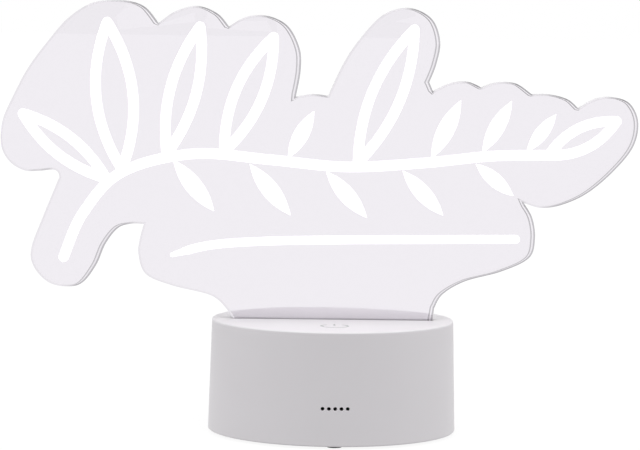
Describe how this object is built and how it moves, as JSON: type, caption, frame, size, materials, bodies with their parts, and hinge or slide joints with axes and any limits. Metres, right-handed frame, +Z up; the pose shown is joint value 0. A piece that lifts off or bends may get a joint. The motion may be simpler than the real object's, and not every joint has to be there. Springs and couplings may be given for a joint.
{
  "type": "led night light",
  "caption": "Edge-lit night light: a clear engraved acrylic panel with a bumpy outline stands in the slot of a round white base with touch switch, charging socket and battery bay.",
  "frame": {"origin": "middle of the whole part's footprint, on the surface that it stands on", "axes": "+X along the panel to the right, +Y from the front with the five holes to the rear socket, +Z up"},
  "size_m": [0.223, 0.087, 0.1506],
  "materials": {
    "white_plastic": "fine satin moulded plastic",
    "clear_acrylic": "polished clear sheet with laser-cut edges",
    "dark_rubber": "matt rubber",
    "screw_steel": "zinc-plated",
    "socket_steel": "bright tin-plated",
    "contact_steel": "nickel-plated spring steel",
    "circuit_board": "green solder mask",
    "led_lens": "cast resin lens",
    "black_resin": "moulded black resin",
    "cell_sleeve": "printed film over the cell's can",
    "copper_foil": "bare copper",
    "red_insulation": "soft cable insulation",
    "black_insulation": "soft cable insulation",
    "white_insulation": "soft cable insulation"
  },
  "bodies": {
    "base": {"base_housing": "white_plastic", "bottom_cover": "white_plastic", "foot_pad_front": "dark_rubber", "foot_pad_rear": "dark_rubber", "foot_pad_left": "dark_rubber", "foot_pad_right": "dark_rubber", "cover_screw_1": "screw_steel", "cover_screw_2": "screw_steel", "cover_screw_3": "screw_steel", "cover_screw_4": "screw_steel", "led_tray": "white_plastic", "tray_screw_1": "screw_steel", "tray_screw_2": "screw_steel", "led_board": "circuit_board", "led_1": "led_lens", "led_2": "led_lens", "led_3": "led_lens", "led_4": "led_lens", "led_5": "led_lens", "led_6": "led_lens", "control_board": "circuit_board", "board_screw_1": "screw_steel", "board_screw_2": "screw_steel", "touch_chip": "black_resin", "capacitor": "black_resin", "usb_socket": "socket_steel", "ir_board": "circuit_board", "ir_receiver": "black_resin", "battery_cell_1": "cell_sleeve", "battery_cell_2": "cell_sleeve", "battery_cell_3": "cell_sleeve", "battery_spring_1": "contact_steel", "battery_spring_2": "contact_steel", "battery_spring_3": "contact_steel", "battery_plate_positive": "contact_steel", "battery_plate_negative": "contact_steel", "battery_bridge_front": "contact_steel", "battery_bridge_rear": "contact_steel", "touch_foil": "copper_foil", "led_lead_positive": "red_insulation", "led_lead_negative": "black_insulation", "touch_lead": "white_insulation", "battery_lead_positive": "red_insulation", "battery_lead_negative": "black_insulation", "ir_lead": "white_insulation"},
    "panel": {"acrylic_panel": "clear_acrylic"},
    "door": {"battery_door": "white_plastic"}
  },
  "joints": [
    {"name": "panel_lift", "type": "slide", "parent": "base", "child": "panel", "axis": [0, 0, 1], "range_m": [0, 0.0095]},
    {"name": "door_slide", "type": "slide", "parent": "base", "child": "door", "axis": [0, 1, 0], "range_m": [0, 0.003]}
  ]
}
